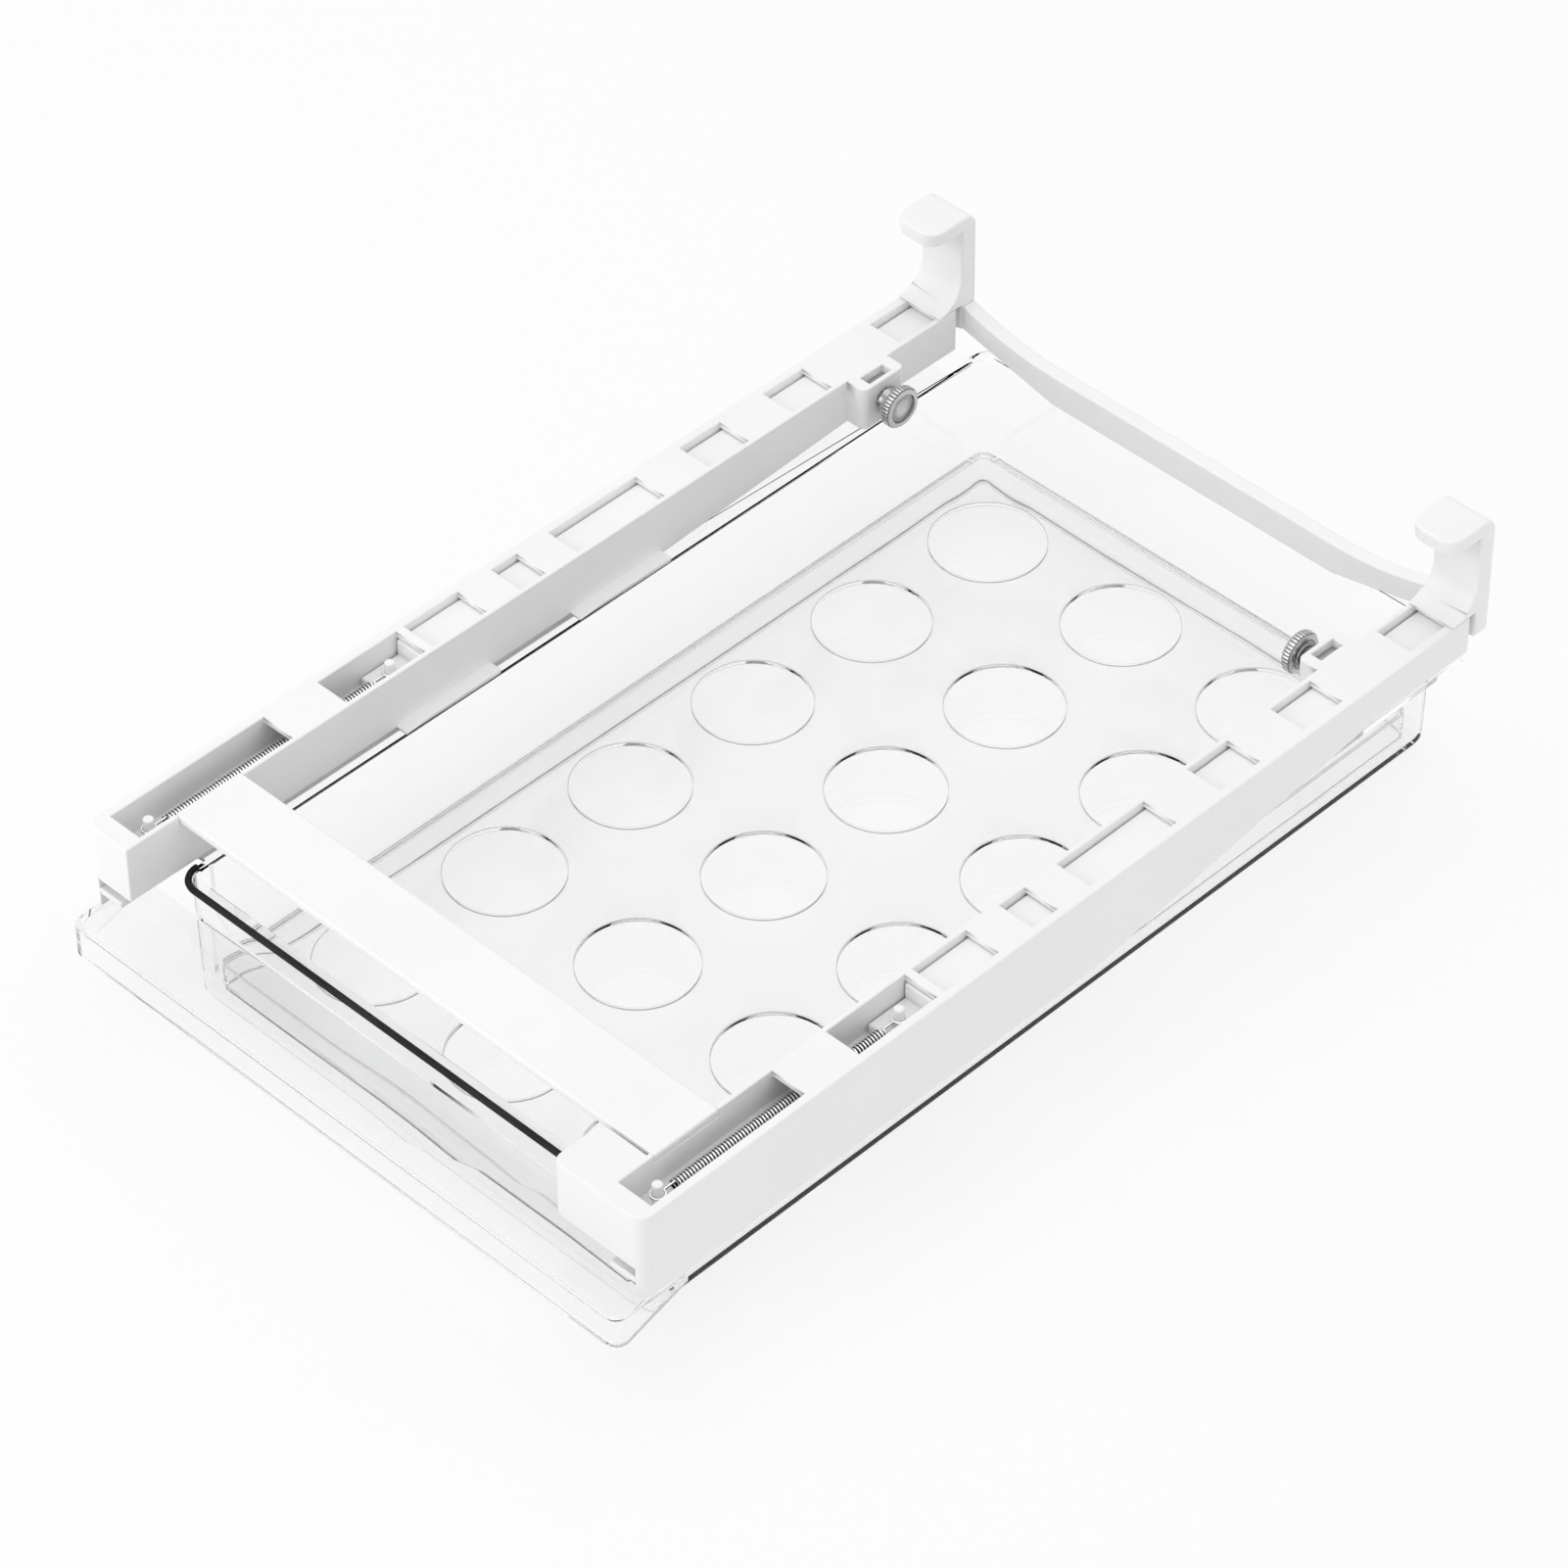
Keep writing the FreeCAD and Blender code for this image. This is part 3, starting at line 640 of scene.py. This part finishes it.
def tray_tree():
    """Holed sheet, skirt and the ring below the skirt, as one closed skin."""
    tree, given = new_tree("holed_tray", (
        ("Width", "Float"), ("Length", "Float"), ("Height", "Float"), ("Sheet", "Float"),
        ("Corner", "Float"), ("Columns", "Int"), ("Rows", "Int"), ("Column Span", "Float"),
        ("Row Span", "Float"), ("Hole Radius", "Float"), ("Hole Steps", "Int"), ("Plastic", "Material")))
    nodes, links = tree.nodes, tree.links

    def less(first, second, times):
        """The first value less the second so many times."""
        node = nodes.new("ShaderNodeMath")
        node.operation = "MULTIPLY_ADD"
        links.new(second, node.inputs[0])
        node.inputs[1].default_value = -times
        links.new(first, node.inputs[2])
        return node.outputs[0]

    def down(depth):
        """A step down by the depth."""
        below = nodes.new("ShaderNodeMath")
        below.operation = "MULTIPLY"
        below.inputs[1].default_value = -1
        links.new(depth, below.inputs[0])
        step = nodes.new("ShaderNodeCombineXYZ")
        links.new(below.outputs[0], step.inputs["Z"])
        return step.outputs[0]

    def lowered(geometry, depth):
        """The geometry moved down by the depth."""
        moved = nodes.new("GeometryNodeTransform")
        links.new(down(depth), moved.inputs["Translation"])
        links.new(geometry, moved.inputs["Geometry"])
        return moved.outputs["Geometry"]

    def outline(width, length, corner):
        """Rectangle with round corners."""
        straight = nodes.new("GeometryNodeCurvePrimitiveQuadrilateral")
        links.new(width, straight.inputs["Width"])
        links.new(length, straight.inputs["Height"])
        rounded = nodes.new("GeometryNodeFilletCurve")
        rounded.mode = "POLY"
        rounded.inputs["Count"].default_value = 10
        links.new(corner, rounded.inputs["Radius"])
        links.new(straight.outputs["Curve"], rounded.inputs["Curve"])
        return rounded.outputs["Curve"]

    def flat(edge_lines):
        """Flat skin between outlines."""
        lines = nodes.new("GeometryNodeJoinGeometry")
        for line in edge_lines:
            links.new(line, lines.inputs["Geometry"])
        skin = nodes.new("GeometryNodeFillCurve")
        links.new(lines.outputs["Geometry"], skin.inputs["Curve"])
        return skin.outputs["Mesh"]

    def wall(line, depth):
        """Upright skin below an outline."""
        edge = nodes.new("GeometryNodeCurveToMesh")
        links.new(line, edge.inputs["Curve"])
        pulled = nodes.new("GeometryNodeExtrudeMesh")
        pulled.mode = "EDGES"
        links.new(edge.outputs["Mesh"], pulled.inputs["Mesh"])
        links.new(down(depth), pulled.inputs["Offset"])
        pulled.inputs["Offset Scale"].default_value = 1
        return pulled.outputs["Mesh"]

    outer = outline(given["Width"], given["Length"], given["Corner"])
    inner = outline(less(given["Width"], given["Sheet"], 2), less(given["Length"], given["Sheet"], 2),
                    less(given["Corner"], given["Sheet"], 1))
    spots = nodes.new("GeometryNodeMeshGrid")
    links.new(given["Column Span"], spots.inputs["Size X"])
    links.new(given["Row Span"], spots.inputs["Size Y"])
    links.new(given["Columns"], spots.inputs["Vertices X"])
    links.new(given["Rows"], spots.inputs["Vertices Y"])
    ring = nodes.new("GeometryNodeCurvePrimitiveCircle")
    links.new(given["Hole Steps"], ring.inputs["Resolution"])
    links.new(given["Hole Radius"], ring.inputs["Radius"])
    spread = nodes.new("GeometryNodeInstanceOnPoints")
    links.new(spots.outputs["Mesh"], spread.inputs["Points"])
    links.new(ring.outputs["Curve"], spread.inputs["Instance"])
    real = nodes.new("GeometryNodeRealizeInstances")
    links.new(spread.outputs["Instances"], real.inputs["Geometry"])
    holes = real.outputs["Geometry"]
    hollow = less(given["Height"], given["Sheet"], 1)
    joined = nodes.new("GeometryNodeJoinGeometry")
    for skin in (flat((outer, holes)), wall(outer, given["Height"]), wall(holes, given["Sheet"]),
                 lowered(flat((inner, holes)), given["Sheet"]),
                 lowered(wall(inner, hollow), given["Sheet"]),
                 lowered(flat((outer, inner)), given["Height"])):
        links.new(skin, joined.inputs["Geometry"])
    closed = nodes.new("GeometryNodeMergeByDistance")
    closed.inputs["Distance"].default_value = same_point
    links.new(joined.outputs["Geometry"], closed.inputs["Geometry"])
    return finished_tree(tree, closed.outputs["Geometry"], given["Plastic"])


tray_clear = clear_moulding("clear_tray_plastic", basin_colour, roughness=0.05, ripple=0.06, bending=1.16)
tray_width, tray_length, tray_height = (high - low for low, high in zip(tray_low, tray_high))
tray = grown_by(tray_tree(), "clear_cup_tray", {
    "Width": tray_width, "Length": tray_length, "Height": tray_height, "Sheet": tray_sheet,
    "Corner": tray_corner, "Columns": tray_columns, "Rows": tray_rows,
    "Column Span": (tray_columns - 1) * tray_column_pitch, "Row Span": (tray_rows - 1) * tray_row_pitch,
    "Hole Radius": tray_hole, "Hole Steps": hole_steps, "Plastic": tray_clear})
tray.data.transform(Matrix.Translation((0, (tray_low[1] + tray_high[1]) / 2, tray_high[2])))
tray_form = bmesh.new()
tray_form.from_mesh(tray.data)
bmesh.ops.recalc_face_normals(tray_form, faces=tray_form.faces)
keen_lines = [line for line in tray_form.edges if line.calc_face_angle(0) > corner_turn]
bmesh.ops.bevel(tray_form, geom=keen_lines, offset=tray_edge, segments=2, profile=0.5, affect="EDGES")
tray_form.to_mesh(tray.data)
tray_form.free()
tray.data.shade_smooth()
tray.data.set_sharp_from_angle(angle=math.radians(50))
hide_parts("cup_tray")
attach(tray, "drawer")

# Studio: pale matte floor and white surroundings that light the object from all sides.
# A broad soft lamp hangs overhead and a second one stands in front on the left.
floor_half = 6.0
floor_level = -0.0005
floor_ways = ((-1, -1), (1, -1), (1, 1), (-1, 1))
floor_corners = [(x * floor_half, y * floor_half, floor_level) for x, y in floor_ways]
floor_mesh = bpy.data.meshes.new("studio_floor")
floor_mesh.from_pydata(floor_corners, [], [(0, 1, 2, 3)])
floor = new_object("studio_floor", floor_mesh)
floor_white, floor_tree, floor_shader = new_material("studio_floor_white")
floor_shader.inputs["Base Color"].default_value = (0.93, 0.93, 0.93, 1)
floor_shader.inputs["Roughness"].default_value = 0.9
floor_shader.inputs["Specular IOR Level"].default_value = 0
floor_glow = floor_tree.nodes.new("ShaderNodeEmission")
floor_glow.inputs["Strength"].default_value = 1
floor_white_share = 0.75


def seen_share(tree, share):
    """How much plain white shows: a share to camera, mirror and clear-plastic rays, none to others."""
    rays = tree.nodes.new("ShaderNodeLightPath").outputs
    seen = rays["Is Camera Ray"]
    for kind in ("Is Glossy Ray", "Is Transmission Ray"):
        either = tree.nodes.new("ShaderNodeMath")
        either.operation = "MAXIMUM"
        tree.links.new(seen, either.inputs[0])
        tree.links.new(rays[kind], either.inputs[1])
        seen = either.outputs[0]
    scaled = tree.nodes.new("ShaderNodeMath")
    scaled.operation = "MULTIPLY"
    scaled.inputs[1].default_value = share
    tree.links.new(seen, scaled.inputs[0])
    return scaled.outputs[0]


mixed_surface(floor_tree, "Material Output", seen_share(floor_tree, floor_white_share),
              floor_shader.outputs["BSDF"], floor_glow.outputs["Emission"])
floor_mesh.materials.append(floor_white)

world = bpy.data.worlds.new("studio_white")
world.use_nodes = True
bpy.context.scene.world = world
world_tree = world.node_tree
world_light = world_tree.nodes["Background"]
world_light.inputs["Color"].default_value = (1, 1, 1, 1)
world_light.inputs["Strength"].default_value = 0.8
world_white = world_tree.nodes.new("ShaderNodeBackground")
world_white.inputs["Color"].default_value = (1, 1, 1, 1)
world_white.inputs["Strength"].default_value = 1
mixed_surface(world_tree, "World Output", seen_share(world_tree, 1),
              world_light.outputs["Background"], world_white.outputs["Background"])


def soft_lamp(name, place, aim, size, watts):
    """A square soft lamp that shines from its place to its aim."""
    light = bpy.data.lights.new(name, "AREA")
    light.size = size
    light.energy = watts
    lamp = new_object(name, light)
    lamp.location = place
    lamp.rotation_euler = (Vector(aim) - Vector(place)).to_track_quat("-Z", "Y").to_euler()


lamp_aim = (0, 0, 0.03)
soft_lamp("overhead_lamp", (-0.15, 0.1, 1.4), lamp_aim, size=1.1, watts=3.3)
soft_lamp("front_lamp", (-0.5, -1.3, 0.6), lamp_aim, size=0.9, watts=4.6)

# Camera: the photograph's viewing angle, from the front right and above.
# The long lens keeps the rails nearly parallel in the picture.
camera_turn = math.radians(44.72)
camera_lift = math.radians(42.66)
camera_roll = math.radians(0.34)
camera_distance = 1.7
camera_aim = Vector((-0.00581, 0.00231, 0.03021))
camera_data = bpy.data.cameras.new("product_camera")
camera_data.lens = 149.76
camera_data.sensor_width = 36
camera_data.clip_start = 0.05
camera_data.clip_end = 30
camera = new_object("product_camera", camera_data)
back = Vector((math.sin(camera_turn) * math.cos(camera_lift),
               -math.cos(camera_turn) * math.cos(camera_lift), math.sin(camera_lift)))
level = Vector((math.cos(camera_turn), math.sin(camera_turn), 0))
upward = back.cross(level)
right = level * math.cos(camera_roll) - upward * math.sin(camera_roll)
upright = level * math.sin(camera_roll) + upward * math.cos(camera_roll)
turned = Matrix((right, upright, back)).transposed().to_4x4()
camera.matrix_world = Matrix.Translation(camera_aim + back * camera_distance) @ turned
bpy.context.scene.camera = camera
bpy.context.scene.view_settings.view_transform = "Standard"
